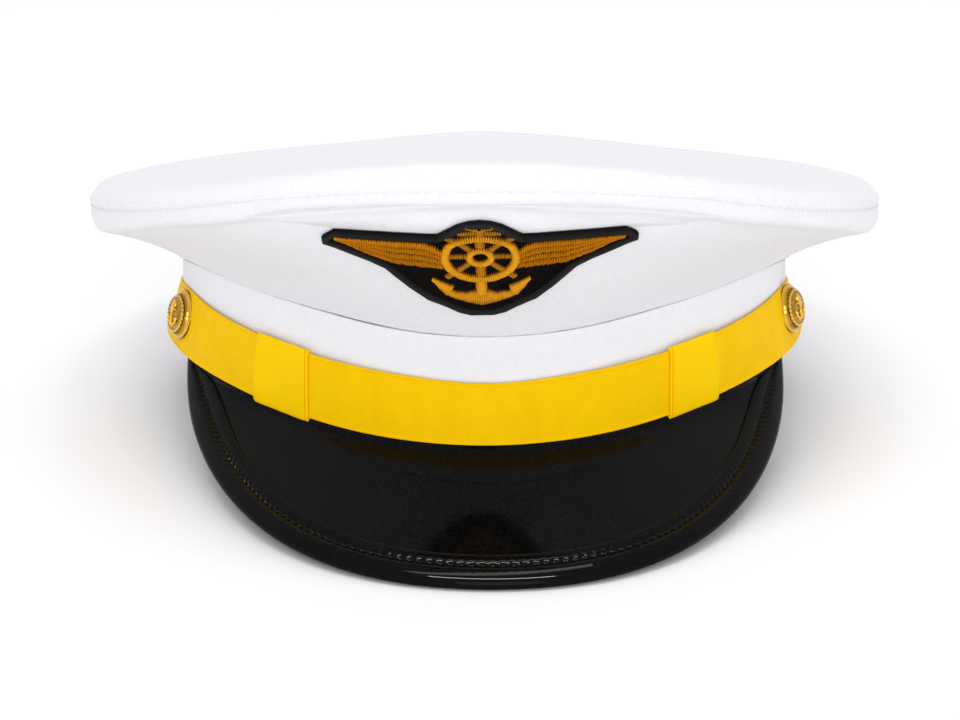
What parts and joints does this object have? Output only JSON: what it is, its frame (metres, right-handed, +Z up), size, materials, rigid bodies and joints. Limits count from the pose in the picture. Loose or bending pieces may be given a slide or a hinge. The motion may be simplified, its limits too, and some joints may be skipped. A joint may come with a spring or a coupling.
{
  "type": "pilot cap",
  "caption": "Peaked pilot cap: wide white crown rising to the front, yellow ribbon chin strap with domed buttons, black patent peak and winged wheel-and-anchor patch.",
  "frame": {"origin": "middle of the bounding box, on the surface the cap lies on", "axes": "-Y towards the tip of the peak, +Z up, +X to the right as seen from the front"},
  "size_m": [0.2296, 0.2796, 0.1078],
  "materials": {
    "white_cloth": "matte brushed twill",
    "yellow_ribbon": "satin ribbon",
    "gold_metal": "polished gold plate",
    "black_patent": "high-gloss patent",
    "black_twill": "matte twill",
    "gold_thread": "satin-stitched thread"
  },
  "bodies": {
    "root": {"crown_top": "white_cloth", "crown_side": "white_cloth", "band": "white_cloth", "strap": "yellow_ribbon", "keeper_left": "yellow_ribbon", "keeper_right": "yellow_ribbon", "button_left": "gold_metal", "button_right": "gold_metal", "peak": "black_patent", "peak_binding": "black_patent", "badge_backing": "black_twill", "badge_wing_left": "gold_thread", "badge_wing_right": "gold_thread", "badge_wheel": "gold_thread", "badge_anchor": "gold_thread"}
  },
  "joints": []
}
